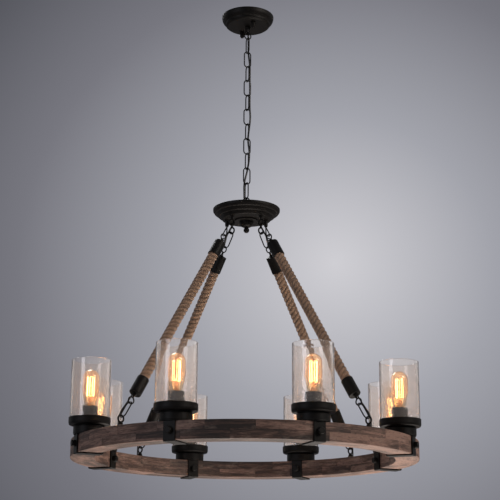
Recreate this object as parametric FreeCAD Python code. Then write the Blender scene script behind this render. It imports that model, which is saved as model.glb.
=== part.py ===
"""Wagon wheel chandelier with eight lights.

Frame: millimetres, origin on the ceiling plane in the middle of the canopy,
+Z up, so the whole chandelier hangs below zero.  -Y is the side that faces
the viewer.  Everything is built from the ceiling down: canopy, chain, hub,
four rope legs, laminated wooden ring, eight cylinder-shade lights.
"""
import FreeCAD
import Part
import math
import os

V = FreeCAD.Vector
UP = V(0, 0, 1)
ROUND = math.sqrt(0.5)      # mid-point of a quarter circle

# ---------------------------------------------------------------- canopy
CANOPY_R = 69.0            # radius at the ceiling
CANOPY_DEPTH = 27.5        # ceiling to the flat underside
CANOPY_FLAT_R = 53.0       # radius of the flat underside
CANOPY_STEP_R = 61.0       # radius of the step half way down the dome
CANOPY_STEP_Z = 19.0       # depth of that step
CANOPY_WALL = 1.2
CROSSBAR = (100.0, 16.0, 3.0)      # length, width, thickness of the ceiling bar
SCREW_SPACING = 88.9       # between the two ceiling screws
SCREW_HOLE_R = 2.4
SCREW_SLOT = 14.0          # overall length of each screw slot
STUD_BAR = (84.0, 14.0, 3.0)       # the bar that carries the two studs
STUD_SPACING = 70.0
STUD_ANGLE = -64.6         # direction of the stud bar, from +X
STUD_R = 2.4
STUD_BELOW = 14.5          # stud length below the canopy
STUD_HOLE_FIT = 0.5        # clearance of the canopy's holes round a stud
NUT_R = 5.8                # thumb nut
NUT_LENGTH = 17.5
NUT_BORE_FIT = 0.05        # running clearance of nuts and finial on their threads
TURN_GAP = 0.3             # clearance of a part that turns or lifts off its seat
NIPPLE_R = 4.8             # threaded tube
THREAD_FIT = 0.1           # clearance of a hole round a threaded tube
HEX_ACROSS = 15.0          # flats of the nuts on the threaded tubes
HEX_THICK = 5.0
CONNECTOR_R = 6.0          # twist-on wire connector
CONNECTOR_LENGTH = 18.0
CONNECTOR_OUT = 34.0       # distance of the connectors from the axis
CONNECTOR_ANGLES = (5.0, 40.0, 200.0)

# ---------------------------------------------------------------- chain
COLLAR_R = 8.0             # collar under the canopy
COLLAR_HEIGHT = 3.5
YOKE_R = 6.1               # half width of the yoke, on its wire's centre
YOKE_TURN = -40.0          # plan direction of the yoke's width
YOKE_DROP = 16.4           # collar to the yoke's lowest centre point
RING_R = 9.4               # canopy ring and hub ring, on the wire's centre
RING_WIRE_R = 1.6
CHAIN_TURN = 25.0          # plan direction of the even links' width
LINK_LENGTH = 47.1         # outside length
LINK_BEND_R = 9.2          # end bend, on the wire's centre
LINK_WIRE_R = 1.55
LINK_COUNT = 11
SLACK = 0.05               # gap where one loop hangs in another

# ---------------------------------------------------------------- hub
HUB_R = 86.2               # widest, at the rim
HUB_COLLAR_R = 9.5         # foot of the hub ring
HUB_COLLAR_HEIGHT = 5.15
HUB_LID_RISE = 10.0        # rim up to the collar's seat
HUB_DISH_DROP = 27.0       # rim down to the flat plate
HUB_FLAT_R = 56.6
HUB_RIDGES = 3             # rings on the slope of the dish
HUB_RIDGE_BULGE = 2.0
HUB_LIP = 2.0              # height of the flat lips that meet at the rim
HUB_WALL = 1.6
CAP_R = 31.0               # stepped disc under the plate
CAP_STEP = 3.5
CAP_DOME_R = 18.0
CAP_DOME_END_R = 8.0
CAP_DOME_DROP = 15.5
ROD_R = 3.0                # rod through the hub
ROD_FIT = 0.1
FINIAL_R = 7.4
FINIAL_NECK_R = 4.6
FINIAL_NECK = 1.6
FINIAL_GRIP = 8.0          # rod length inside the finial
GLAND_R = 5.0
GLAND_LENGTH = 18.0
GLAND_OUT = 50.0           # distance of each gland from the axis

# ---------------------------------------------------------------- rope legs
LEG_ANGLES = (45.0, 135.0, 225.0, 315.0)
HUB_EYE_OUT = 53.0         # hub eye's distance from the axis
HUB_EYE_DROP = 17.0        # plate to the eye's centre
EYE_R = 8.0                # hub and wheel eyes, on the wire's centre
EYE_WIRE_R = 2.0
EYE_STEM_R = 3.0
FERRULE_EYE_R = 8.0
FERRULE_EYE_WIRE_R = 1.6
FERRULE_SHANK_R = 3.0
FERRULE_SHANK = 10.2       # eye to the end of the ferrule
FERRULE_R = 14.5
FERRULE_LENGTH = 45.0
FERRULE_END = 5.0          # thickness of the closed end
ROPE_R = 12.5

# ---------------------------------------------------------------- wooden ring
RING_OUT = 425.0           # outer radius
RING_WIDTH = 58.0          # outer radius to inner
LAYER = 21.0               # each of the two layers
WHEEL_DROP = 558.0         # hub eye's centre down to the ring's top
BLOCKS = 8                 # blocks in each layer
JOINT_TURN = 3.3           # plan angle of the first top joint, from the front
JOINT_GAP = 0.3
WHEEL_EYE_RISE = 20.0      # ring's top to the wheel eye's centre
WHEEL_EYE_FLANGE_R = 11.0
WHEEL_EYE_FLANGE = 3.0
WHEEL_EYE_CONE = (7.0, 4.0)        # foot and top radius of the cone
STUD_EYE_R = 4.0           # stud of a wheel eye
STUD_EYE_LENGTH = 30.0
GROOVE = (8.0, 12.0)       # wiring groove, width and height
WIRING_R = 2.0
WIRING_FIT = 0.2           # wiring above the bolts it lies on
WIRING_END = 3.0           # wiring ends short of an eye's stud

# ---------------------------------------------------------------- straps
STRAP_WIDTH = 28.0
STRAP_THICK = 3.5
BOLT_R = 4.0
BOLT_FIT = 0.25
BOLT_HEAD_R = 8.0
BOLT_HEAD = 10.0

# ---------------------------------------------------------------- lights
LIGHT_ANGLES = tuple(22.5 + 45.0 * i for i in range(8))
BASE_R = 37.6
BASE_HEIGHT = 21.6
CUP_R = 49.4
CUP_WALL = 1.8
CUP_HEIGHT = 18.9
CUP_FLOOR = 4.0
CUP_EDGE = 3.0             # rounding of the cup's lower edge
SHADE_WALL = 2.6
SHADE_LENGTH = 151.7
SHADE_FIT = 0.4            # glass to the cup's wall
SOCKET_R = 18.75
SOCKET_HEIGHT = 42.4
SOCKET_FLOOR = 18.9
BULB_BASE_R = 13.1
BULB_BASE = 25.0
BULB_FIT = 0.25            # lamp base to the socket's bore
BULB_R = 20.0
BULB_LENGTH = 110.0
BULB_NECK = 30.0           # flare from the base to the full width
LAMP_TUBE_GRIP = 13.0      # threaded tube inside the socket's floor

# ---------------------------------------------------------------- cables
MAIN_CABLE_R = 2.35
BRANCH_CABLE_R = 1.65

# ---------------------------------------------------------------- heights
CANOPY_Z = -CANOPY_DEPTH
YOKE_Z = CANOPY_Z - COLLAR_HEIGHT - YOKE_DROP
RING_TOP_Z = YOKE_Z + 2 * RING_WIRE_R + SLACK
RING_Z = RING_TOP_Z - RING_R
LINK_1_TOP = RING_Z - RING_R + RING_WIRE_R + SLACK + 2 * LINK_WIRE_R
PITCH = LINK_LENGTH - 4 * LINK_WIRE_R - SLACK
LINK_TOPS = [LINK_1_TOP - PITCH * i for i in range(LINK_COUNT)]
LAST_INNER = LINK_TOPS[-1] - LINK_LENGTH + 2 * LINK_WIRE_R
HUB_RING_Z = LAST_INNER + SLACK + 2 * RING_WIRE_R - RING_WIRE_R - RING_R
HUB_SEAT_Z = HUB_RING_Z - RING_R - HUB_COLLAR_HEIGHT
HUB_RIM_Z = HUB_SEAT_Z - HUB_LID_RISE
PLATE_Z = HUB_RIM_Z - HUB_DISH_DROP
CAP_Z = PLATE_Z - CAP_STEP - CAP_DOME_DROP
HUB_EYE_Z = PLATE_Z - HUB_EYE_DROP
RING_IN = RING_OUT - RING_WIDTH
RING_MID_R = (RING_OUT + RING_IN) / 2
WOOD_TOP = HUB_EYE_Z - WHEEL_DROP
WOOD_MID = WOOD_TOP - LAYER
WOOD_LOW = WOOD_MID - LAYER
WHEEL_EYE_Z = WOOD_TOP + WHEEL_EYE_RISE
CUP_Z = WOOD_TOP + BASE_HEIGHT
CUP_SEAT = CUP_Z + CUP_FLOOR
SOCKET_TOP = CUP_SEAT + SOCKET_HEIGHT
SOCKET_SEAT = CUP_SEAT + SOCKET_FLOOR
CUP_IN = CUP_R - CUP_WALL
SHADE_R = CUP_IN - SHADE_FIT
SHADE_Z = CUP_SEAT + TURN_GAP
BULB_Z = SOCKET_SEAT + TURN_GAP

# ---------------------------------------------------------------- leg line
LEG_RUN = RING_MID_R - HUB_EYE_OUT
LEG_FALL = HUB_EYE_Z - WHEEL_EYE_Z
LEG_LENGTH = math.hypot(LEG_RUN, LEG_FALL)
LEG_SLOPE = math.degrees(math.atan2(LEG_FALL, LEG_RUN))
LEG_LINK_AT = EYE_R - EYE_WIRE_R - SLACK - 2 * LINK_WIRE_R
FERRULE_EYE_AT = (LEG_LINK_AT + LINK_LENGTH - 2 * LINK_WIRE_R - SLACK
                  - FERRULE_EYE_WIRE_R + FERRULE_EYE_R)
FERRULE_AT = FERRULE_EYE_AT + FERRULE_EYE_R + FERRULE_EYE_WIRE_R + FERRULE_SHANK

# ------------------------------------------------------- cable routes (mm)
# Centre points of the main cable from the collar to the hub, woven in and out
# of the chain as it hangs in the photograph.
MAIN_ROUTE = [
    (1.0, 5.5, -31.0), (1.0, 5.5, -46.0), (2.2, 6.8, -68.0), (1.8, 7.6, -102.0),
    (6.8, -3.5, -141.5), (6.5, -3.1, -182.0), (6.9, -3.3, -224.0),
    (6.5, -3.0, -262.0), (8.6, -3.8, -286.0), (6.9, -3.6, -308.0),
    (1.4, 8.7, -347.5), (7.8, -5.1, -389.0), (2.3, 8.4, -429.0),
    (-7.2, 2.4, -469.0), (-6.2, 2.5, -500.0), (-6.2, 2.5, -527.85)]
# Branch cables, for a leg along +X: (out, sideways, height).
BRANCH_TOP_ROUTE = [
    (36.7, 34.0, -588.0), (36.7, 34.0, -603.0), (46.0, 28.0, -620.0),
    (64.0, 17.0, -628.5), (84.0, 9.0, -635.7), (92.25, 9.0, -648.55)]
BRANCH_LOW_ROUTE = [
    (356.75, 9.0, -1063.45), (364.3, 9.0, -1075.25), (375.0, 14.5, -1093.0),
    (387.0, 15.5, -1110.0), (396.0, 9.0, -1126.0), (396.0, 9.0, -1142.0)]


# ---------------------------------------------------------------- helpers
def turned(shape, degrees):
    """A copy of shape turned about the vertical axis."""
    copy = shape.copy()
    copy.rotate(V(0, 0, 0), UP, degrees)
    return copy


def around(shape, angles):
    """Copies of shape, which is built along +X, at the plan angles."""
    return [turned(shape, angle) for angle in angles]


def tube_z(radius, low, high, x=0.0, y=0.0):
    """Upright cylinder between two heights."""
    return Part.makeCylinder(radius, high - low, V(x, y, low))


def box(length, width, low, high):
    """Box centred on the axis between two heights."""
    return Part.makeBox(length, width, high - low, V(-length / 2, -width / 2, low))


def hexagon(across, low, high):
    """Hexagonal prism on the axis."""
    corner = across / math.sqrt(3)
    points = [V(corner * math.cos(math.radians(60 * i)),
                corner * math.sin(math.radians(60 * i)), low) for i in range(7)]
    return Part.Face(Part.makePolygon(points)).extrude(V(0, 0, high - low))


def lathe(points, degrees=360.0):
    """Solid of revolution; a point is (r, z), or (r, z, mid_r, mid_z) after an arc."""
    edges = []
    start = V(points[0][0], 0, points[0][1])
    for point in list(points[1:]) + [points[0][:2]]:
        end = V(point[0], 0, point[1])
        if len(point) == 4:
            edges.append(Part.Arc(start, V(point[2], 0, point[3]), end).toShape())
        elif (end - start).Length > 1e-9:
            edges.append(Part.LineSegment(start, end).toShape())
        start = end
    return Part.Face(Part.Wire(edges)).revolve(V(0, 0, 0), UP, degrees)


def pressed(profile, wall, inward):
    """Sheet pressed to profile, which runs from the rim to the axis.

    inward is +1 where the hollow is above the sheet and -1 where it is below.
    """
    rim_z = profile[0][1]
    outer = lathe(list(profile) + [(0, rim_z)])
    moved = []
    for point in profile:
        shifted = [max(0.0, point[0] - wall), point[1] + inward * wall]
        if len(point) == 4:
            shifted += [point[2] - wall, point[3] + inward * wall]
        moved.append(tuple(shifted))
    beyond = rim_z + inward * 2 * wall
    moved = [(moved[0][0], beyond)] + moved + [(0, beyond)]
    return outer.cut(lathe(moved))


def loop(radius, wire, length=None):
    """Chain link or ring in the XZ plane, centred on the origin, along Z."""
    straight = 0.0 if length is None else length / 2 - wire - radius
    section = Part.Face(Part.Wire(Part.makeCircle(wire, V(radius, 0, straight), UP)))
    if straight <= 0.0:
        return section.revolve(V(0, 0, 0), V(0, 1, 0), 360)
    bend = section.revolve(V(0, 0, straight), V(0, -1, 0), 180)
    other = bend.mirror(V(0, 0, 0), UP)
    sides = [Part.makeCylinder(wire, 2 * straight, V(x, 0, -straight))
             for x in (-radius, radius)]
    return bend.fuse([other] + sides).removeSplitter()


def leg_placed(shape, angle):
    """Shape built along +X from the hub eye, laid on the leg line at angle."""
    copy = shape.copy()
    copy.rotate(V(0, 0, 0), V(0, 1, 0), LEG_SLOPE)
    copy.translate(V(HUB_EYE_OUT, 0, HUB_EYE_Z))
    return turned(copy, angle)


def both_ends(shape):
    """The shape and its mirror image at the other end of the leg."""
    return [shape, shape.mirror(V(LEG_LENGTH / 2, 0, 0), V(1, 0, 0))]


def cable(points, radius, name):
    """Round cable through hand-set points: straight runs joined by tangent arcs."""
    points = [V(*point) for point in points]
    edges = []
    start = points[0]
    least = None
    for before, here, after in zip(points, points[1:], points[2:]):
        back = before - here
        on = after - here
        half = (math.pi - back.getAngle(on)) / 2
        reach = 0.45 * min(back.Length, on.Length)
        bend = reach / math.tan(half)
        least = bend if least is None else min(least, bend)
        back.normalize()
        on.normalize()
        middle = back + on
        middle.normalize()
        enter = here + back * reach
        leave = here + on * reach
        top = here + middle * (bend / math.cos(half) - bend)
        edges.append(Part.LineSegment(start, enter).toShape())
        edges.append(Part.Arc(enter, top, leave).toShape())
        start = leave
    edges.append(Part.LineSegment(start, points[-1]).toShape())
    path = Part.Wire(edges)
    section = Part.Wire(Part.makeCircle(radius, points[0], points[1] - points[0]))
    solid = path.makePipeShell([section], True, False)
    error = solid.Volume / (math.pi * radius ** 2 * path.Length) - 1
    print("%s: length %.1f, least bend radius %.1f = %.1f diameters, volume error %.4f"
          % (name, path.Length, least, least / (2 * radius), error))
    return solid


def save(name, shapes):
    """One STEP file per node."""
    if not isinstance(shapes, list):
        shapes = [shapes]
    shape = shapes[0] if len(shapes) == 1 else Part.makeCompound(shapes)
    shape.exportStep("parts/%s.step" % name)
    print("%s: %d solid(s), %.0f mm3, valid %s"
          % (name, len(shape.Solids), shape.Volume, shape.isValid()))


os.makedirs("parts", exist_ok=True)

# ================================================================ canopy
stud_places = [turned(Part.Vertex(side * STUD_SPACING / 2, 0, 0), STUD_ANGLE).Point
               for side in (1, -1)]

canopy = pressed([(CANOPY_R, 0), (CANOPY_R, -3.0),
                  (CANOPY_STEP_R, -CANOPY_STEP_Z, CANOPY_R - 1.6, -CANOPY_STEP_Z * 0.62),
                  (CANOPY_STEP_R - 1.2, -CANOPY_STEP_Z - 0.4),
                  (CANOPY_FLAT_R, CANOPY_Z, CANOPY_STEP_R - 2.6, CANOPY_Z + 2.9),
                  (0, CANOPY_Z)], CANOPY_WALL, 1)
canopy = canopy.cut([tube_z(NIPPLE_R + THREAD_FIT, CANOPY_Z - 1, 0)]
                    + [tube_z(STUD_R + STUD_HOLE_FIT, CANOPY_Z - 1, 0, p.x, p.y)
                       for p in stud_places])
save("canopy_shell", canopy)

crossbar = box(CROSSBAR[0], CROSSBAR[1], -CROSSBAR[2], 0)
crossbar = crossbar.cut(tube_z(NIPPLE_R + THREAD_FIT, -CROSSBAR[2] - 1, 1))
for side in (1, -1):
    middle = side * SCREW_SPACING / 2
    run = SCREW_SLOT / 2 - SCREW_HOLE_R
    slot = Part.makeBox(2 * run, 2 * SCREW_HOLE_R, CROSSBAR[2] + 2,
                        V(middle - run, -SCREW_HOLE_R, -CROSSBAR[2] - 1))
    ends = [tube_z(SCREW_HOLE_R, -CROSSBAR[2] - 1, 1, middle + end * run) for end in (1, -1)]
    crossbar = crossbar.cut(slot.fuse(ends).removeSplitter())
save("crossbar", crossbar)

stud_bar_top = -CROSSBAR[2]
stud_bar_low = stud_bar_top - STUD_BAR[2]
stud_bar = turned(box(STUD_BAR[0], STUD_BAR[1], stud_bar_low, stud_bar_top), STUD_ANGLE)
stud_bar = stud_bar.cut([tube_z(NIPPLE_R + THREAD_FIT, stud_bar_low - 1, 0)]
                        + [tube_z(STUD_R, stud_bar_low - 1, 0, p.x, p.y) for p in stud_places])
studs = [tube_z(STUD_R, CANOPY_Z - STUD_BELOW, stud_bar_top, p.x, p.y) for p in stud_places]
save("canopy_stud_bar", [stud_bar] + studs)

nipple_low = CANOPY_Z - COLLAR_HEIGHT + 0.5
nipple_nuts = [hexagon(HEX_ACROSS, low, low + HEX_THICK).cut(tube_z(NIPPLE_R, low - 1, 0))
               for low in (stud_bar_low - HEX_THICK, CANOPY_Z + CANOPY_WALL)]
save("canopy_nipple", [tube_z(NIPPLE_R, nipple_low, 0)] + nipple_nuts)

collar = tube_z(COLLAR_R, CANOPY_Z - COLLAR_HEIGHT, CANOPY_Z)
yoke_bend = loop(YOKE_R, RING_WIRE_R).common(Part.makeBox(40, 40, 20, V(-20, -20, -20)))
yoke_bend.translate(V(0, 0, YOKE_Z + YOKE_R))
yoke_legs = [tube_z(RING_WIRE_R, YOKE_Z + YOKE_R, CANOPY_Z - COLLAR_HEIGHT + 1, x)
             for x in (-YOKE_R, YOKE_R)]
canopy_loop = collar.fuse([turned(part, YOKE_TURN) for part in [yoke_bend] + yoke_legs])
canopy_loop = canopy_loop.removeSplitter().cut(tube_z(NIPPLE_R, nipple_low, 0))
save("canopy_loop", canopy_loop)

floor_z = CANOPY_Z + CANOPY_WALL
connector = lathe([(0, floor_z), (CONNECTOR_R, floor_z),
                   (CONNECTOR_R * 0.6, floor_z + CONNECTOR_LENGTH),
                   (0, floor_z + CONNECTOR_LENGTH)])
connector.translate(V(CONNECTOR_OUT, 0, 0))
save("wire_connectors", around(connector, CONNECTOR_ANGLES))

nut_top = CANOPY_Z - TURN_GAP
nut = lathe([(0, nut_top), (NUT_R, nut_top), (NUT_R, nut_top - NUT_LENGTH + NUT_R),
             (0, nut_top - NUT_LENGTH, NUT_R * ROUND,
              nut_top - NUT_LENGTH + NUT_R * (1 - ROUND))])
nut = nut.cut(tube_z(STUD_R + NUT_BORE_FIT, CANOPY_Z - STUD_BELOW - TURN_GAP, 0))
for name, place in zip(("thumb_nut_right", "thumb_nut_left"), stud_places):
    moved = nut.copy()
    moved.translate(place)
    save(name, moved)

# ================================================================ chain
ring = loop(RING_R, RING_WIRE_R)
canopy_ring = turned(ring, CHAIN_TURN)
canopy_ring.translate(V(0, 0, RING_Z))
save("canopy_ring", canopy_ring)

link = loop(LINK_BEND_R, LINK_WIRE_R, LINK_LENGTH)
for number, top in enumerate(LINK_TOPS, 1):
    placed = turned(link, CHAIN_TURN + (90.0 if number % 2 else 0.0))
    placed.translate(V(0, 0, top - LINK_LENGTH / 2))
    save("chain_link_%02d" % number, placed)

# ================================================================ hub
hub_foot = tube_z(HUB_COLLAR_R, HUB_SEAT_Z, HUB_SEAT_Z + HUB_COLLAR_HEIGHT)
hub_ring = turned(ring, CHAIN_TURN)
hub_ring.translate(V(0, 0, HUB_RING_Z))
save("hub_loop", hub_foot.fuse(hub_ring).removeSplitter())

rod_hole = tube_z(ROD_R + ROD_FIT, CAP_Z - 1, HUB_SEAT_Z + 1)
lid = pressed([(HUB_R, HUB_RIM_Z), (HUB_R, HUB_RIM_Z + HUB_LIP),
               (HUB_COLLAR_R + 3, HUB_SEAT_Z, HUB_R * 0.6, HUB_SEAT_Z - HUB_LID_RISE * 0.27),
               (0, HUB_SEAT_Z)], HUB_WALL, -1)
save("hub_cover", lid.cut(rod_hole))

ridge_out = (HUB_R - HUB_FLAT_R) / HUB_RIDGES
ridge_fall = (HUB_DISH_DROP - HUB_LIP) / HUB_RIDGES
dish = [(HUB_R, HUB_RIM_Z), (HUB_R, HUB_RIM_Z - HUB_LIP)]
for i in range(HUB_RIDGES):
    r, z = dish[-1][0], dish[-1][1]
    dish.append((r - ridge_out, z - ridge_fall, r - ridge_out / 2 + HUB_RIDGE_BULGE / 2,
                 z - ridge_fall / 2 - HUB_RIDGE_BULGE))
dish[-1] = (HUB_FLAT_R, PLATE_Z) + dish[-1][2:]
dish.append((0, PLATE_Z))
save("hub_plate", pressed(dish, HUB_WALL, 1).cut(rod_hole))

dome_top = PLATE_Z - CAP_STEP
cap = lathe([(0, PLATE_Z), (CAP_R, PLATE_Z), (CAP_R, dome_top), (CAP_DOME_R, dome_top),
             (CAP_DOME_END_R, CAP_Z, CAP_DOME_R * 0.9, CAP_Z + CAP_DOME_DROP * 0.32),
             (0, CAP_Z)])
save("hub_cap", cap.cut(rod_hole))

rod_low = CAP_Z - FINIAL_GRIP
hub_nuts = [hexagon(HEX_ACROSS * 0.7, low, low + HEX_THICK).cut(tube_z(ROD_R, low - 1, 0))
            for low in (HUB_SEAT_Z - HUB_WALL - HEX_THICK, PLATE_Z + HUB_WALL)]
save("hub_rod", [tube_z(ROD_R, rod_low, HUB_SEAT_Z)] + hub_nuts)

finial_top = CAP_Z - TURN_GAP
ball_z = finial_top - FINIAL_NECK - math.sqrt(FINIAL_R ** 2 - FINIAL_NECK_R ** 2)
finial = tube_z(FINIAL_NECK_R, ball_z, finial_top).fuse(Part.makeSphere(FINIAL_R, V(0, 0, ball_z)))
finial = finial.removeSplitter().cut(tube_z(ROD_R + NUT_BORE_FIT, rod_low - TURN_GAP, 0))
save("finial", finial)

eye = loop(EYE_R, EYE_WIRE_R)
eye.translate(V(HUB_EYE_OUT, 0, HUB_EYE_Z))
eye_stem = tube_z(EYE_STEM_R, HUB_EYE_Z + EYE_R, PLATE_Z, HUB_EYE_OUT)
save("hub_eyes", around(eye.fuse(eye_stem).removeSplitter(), LEG_ANGLES))

gland = tube_z(GLAND_R, PLATE_Z - GLAND_LENGTH, PLATE_Z, GLAND_OUT)
save("cable_glands", around(gland, (0.0, 180.0)))

# ================================================================ rope legs
leg_link = loop(LINK_BEND_R, LINK_WIRE_R, LINK_LENGTH)
leg_link.rotate(V(0, 0, 0), V(0, 1, 0), 90)
leg_link.rotate(V(0, 0, 0), V(1, 0, 0), 90)
leg_link.translate(V(LEG_LINK_AT + LINK_LENGTH / 2, 0, 0))
save("leg_links", [leg_placed(part, a) for a in LEG_ANGLES for part in both_ends(leg_link)])

ferrule_eye = loop(FERRULE_EYE_R, FERRULE_EYE_WIRE_R)
ferrule_eye.translate(V(FERRULE_EYE_AT, 0, 0))
shank_start = FERRULE_EYE_AT + FERRULE_EYE_R
shank = Part.makeCylinder(FERRULE_SHANK_R, FERRULE_AT + 1 - shank_start,
                          V(shank_start, 0, 0), V(1, 0, 0))
sleeve = Part.makeCylinder(FERRULE_R, FERRULE_LENGTH, V(FERRULE_AT, 0, 0), V(1, 0, 0))
rope_start = FERRULE_AT + FERRULE_END
ferrule = sleeve.fuse([shank, ferrule_eye]).removeSplitter()
ferrule = ferrule.cut(Part.makeCylinder(ROPE_R, FERRULE_LENGTH, V(rope_start, 0, 0), V(1, 0, 0)))
save("rope_ferrules", [leg_placed(part, a) for a in LEG_ANGLES for part in both_ends(ferrule)])

rope = Part.makeCylinder(ROPE_R, LEG_LENGTH - 2 * rope_start, V(rope_start, 0, 0), V(1, 0, 0))
save("ropes", [leg_placed(rope, a) for a in LEG_ANGLES])

# ================================================================ wooden ring
bolt_z = WOOD_MID
groove_low = WOOD_MID - 0.5
groove_high = WOOD_MID + GROOVE[1]
groove = tube_z(RING_MID_R + GROOVE[0] / 2, groove_low, groove_high)
groove = groove.cut(tube_z(RING_MID_R - GROOVE[0] / 2, groove_low - 1, groove_high + 1))
bolt_hole = Part.makeCylinder(BOLT_R + BOLT_FIT, RING_OUT - RING_IN + 20,
                              V(RING_IN - 10, 0, bolt_z), V(1, 0, 0))
lamp_hole = tube_z(NIPPLE_R + THREAD_FIT, groove_high - 1, WOOD_TOP + 1, RING_MID_R)
eye_hole = tube_z(STUD_EYE_R + THREAD_FIT, WOOD_TOP - STUD_EYE_LENGTH - THREAD_FIT,
                  WOOD_TOP + 1, RING_MID_R)


def layer(low, high, first_joint, holes):
    """One layer of blocks; holes are (tool, plan angles) pairs."""
    pitch = 360.0 / BLOCKS
    gap = math.degrees(JOINT_GAP / RING_MID_R)
    block = lathe([(RING_IN, low), (RING_OUT, low), (RING_OUT, high), (RING_IN, high)],
                  pitch - gap)
    blocks = []
    for number in range(BLOCKS):
        start = first_joint + number * pitch + gap / 2
        tools = [turned(tool, angle) for tool, angles in holes for angle in angles
                 if -3.0 < (angle - start) % 360.0 < pitch + 3.0
                 or (angle - start) % 360.0 > 357.0]
        blocks.append(turned(block, start).cut(tools))
    return blocks


top_joint = JOINT_TURN - 90.0
top_holes = [(bolt_hole, LIGHT_ANGLES), (lamp_hole, LIGHT_ANGLES), (eye_hole, LEG_ANGLES)]
top_blocks = [block.cut(groove) for block in layer(WOOD_MID, WOOD_TOP, top_joint, top_holes)]
save("wheel_top_blocks", top_blocks)
low_holes = [(bolt_hole, LIGHT_ANGLES), (eye_hole, LEG_ANGLES)]
save("wheel_bottom_blocks",
     layer(WOOD_LOW, WOOD_MID, top_joint + 180.0 / BLOCKS, low_holes))

wheel_eye = loop(EYE_R, EYE_WIRE_R)
wheel_eye.translate(V(RING_MID_R, 0, WHEEL_EYE_Z))
flange_top = WOOD_TOP + WHEEL_EYE_FLANGE
eye_foot = lathe([(0, WOOD_TOP - STUD_EYE_LENGTH), (STUD_EYE_R, WOOD_TOP - STUD_EYE_LENGTH),
                  (STUD_EYE_R, WOOD_TOP), (WHEEL_EYE_FLANGE_R, WOOD_TOP),
                  (WHEEL_EYE_FLANGE_R, flange_top), (WHEEL_EYE_CONE[0], flange_top),
                  (WHEEL_EYE_CONE[1], WHEEL_EYE_Z - EYE_R), (0, WHEEL_EYE_Z - EYE_R)])
eye_foot.translate(V(RING_MID_R, 0, 0))
save("wheel_eyes", around(wheel_eye.fuse(eye_foot).removeSplitter(), LEG_ANGLES))

wiring_z = bolt_z + BOLT_R + WIRING_FIT + WIRING_R
end_angle = math.degrees((STUD_EYE_R + WIRING_END) / RING_MID_R)
wire_face = Part.Face(Part.Wire(Part.makeCircle(WIRING_R, V(RING_MID_R, 0, wiring_z),
                                                V(0, 1, 0))))
wiring = turned(wire_face.revolve(V(0, 0, 0), UP, 90.0 - 2 * end_angle), end_angle)
save("ring_wiring", around(wiring, LEG_ANGLES))

# ================================================================ straps
inner_face = math.sqrt(RING_IN ** 2 - (STRAP_WIDTH / 2) ** 2)
strap_in = inner_face - STRAP_THICK
strap_out = RING_OUT + STRAP_THICK
strap_low = WOOD_LOW - STRAP_THICK
strap = Part.makeBox(strap_out - strap_in, STRAP_WIDTH, WOOD_TOP - strap_low,
                     V(strap_in, -STRAP_WIDTH / 2, strap_low))
strap = strap.cut([Part.makeBox(RING_OUT - inner_face, STRAP_WIDTH, 100,
                                V(inner_face, -STRAP_WIDTH / 2, WOOD_LOW)), bolt_hole])
save("straps", around(strap, LIGHT_ANGLES))

bolt = Part.makeCylinder(BOLT_R, strap_out - strap_in + BOLT_HEAD,
                         V(strap_in - BOLT_HEAD, 0, bolt_z), V(1, 0, 0))
head = Part.makeCylinder(BOLT_HEAD_R, BOLT_HEAD, V(strap_out, 0, bolt_z), V(1, 0, 0))
bolt = bolt.fuse(head).removeSplitter()
bolt_nut = Part.makeCylinder(BOLT_HEAD_R, BOLT_HEAD, V(strap_in - BOLT_HEAD, 0, bolt_z),
                             V(1, 0, 0)).cut(bolt)
save("strap_bolts", around(bolt, LIGHT_ANGLES) + around(bolt_nut, LIGHT_ANGLES))

# ================================================================ lights
tube_low = groove_high
tube_high = CUP_SEAT + LAMP_TUBE_GRIP
tube_bore = tube_z(NIPPLE_R + THREAD_FIT, tube_low - 1, tube_high, RING_MID_R)
save("light_bases", around(tube_z(BASE_R, WOOD_TOP, CUP_Z, RING_MID_R).cut(tube_bore),
                           LIGHT_ANGLES))

cup_top = CUP_Z + CUP_HEIGHT
corner = CUP_EDGE * (1 - ROUND)
cup = lathe([(0, CUP_Z), (CUP_R - CUP_EDGE, CUP_Z),
             (CUP_R, CUP_Z + CUP_EDGE, CUP_R - corner, CUP_Z + corner),
             (CUP_R, cup_top), (CUP_IN, cup_top), (CUP_IN, CUP_SEAT), (0, CUP_SEAT)])
cup.translate(V(RING_MID_R, 0, 0))
save("cups", around(cup.cut(tube_bore), LIGHT_ANGLES))

save("lamp_tubes", around(tube_z(NIPPLE_R, tube_low, tube_high, RING_MID_R), LIGHT_ANGLES))

socket = tube_z(SOCKET_R, CUP_SEAT, SOCKET_TOP, RING_MID_R)
socket = socket.cut([tube_bore, tube_z(BULB_BASE_R + BULB_FIT, SOCKET_SEAT, SOCKET_TOP + 1,
                                       RING_MID_R)])
save("sockets", around(socket, LIGHT_ANGLES))

glass_start = BULB_Z + BULB_BASE
bulb_top = BULB_Z + BULB_LENGTH
bulb = lathe([(0, BULB_Z), (BULB_BASE_R, BULB_Z), (BULB_BASE_R, glass_start),
              (BULB_R, glass_start + BULB_NECK, BULB_BASE_R + (BULB_R - BULB_BASE_R) * 0.62,
               glass_start + BULB_NECK * 0.45),
              (BULB_R, bulb_top - BULB_R),
              (0, bulb_top, BULB_R * ROUND, bulb_top - BULB_R * (1 - ROUND))])
bulb.translate(V(RING_MID_R, 0, 0))
shade = tube_z(SHADE_R, SHADE_Z, SHADE_Z + SHADE_LENGTH, RING_MID_R)
shade = shade.cut(tube_z(SHADE_R - SHADE_WALL, SHADE_Z - 1, SHADE_Z + SHADE_LENGTH + 1,
                         RING_MID_R))
for number, angle in enumerate(LIGHT_ANGLES, 1):
    save("bulb_%d" % number, turned(bulb, angle))
    save("shade_%d" % number, turned(shade, angle))

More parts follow.
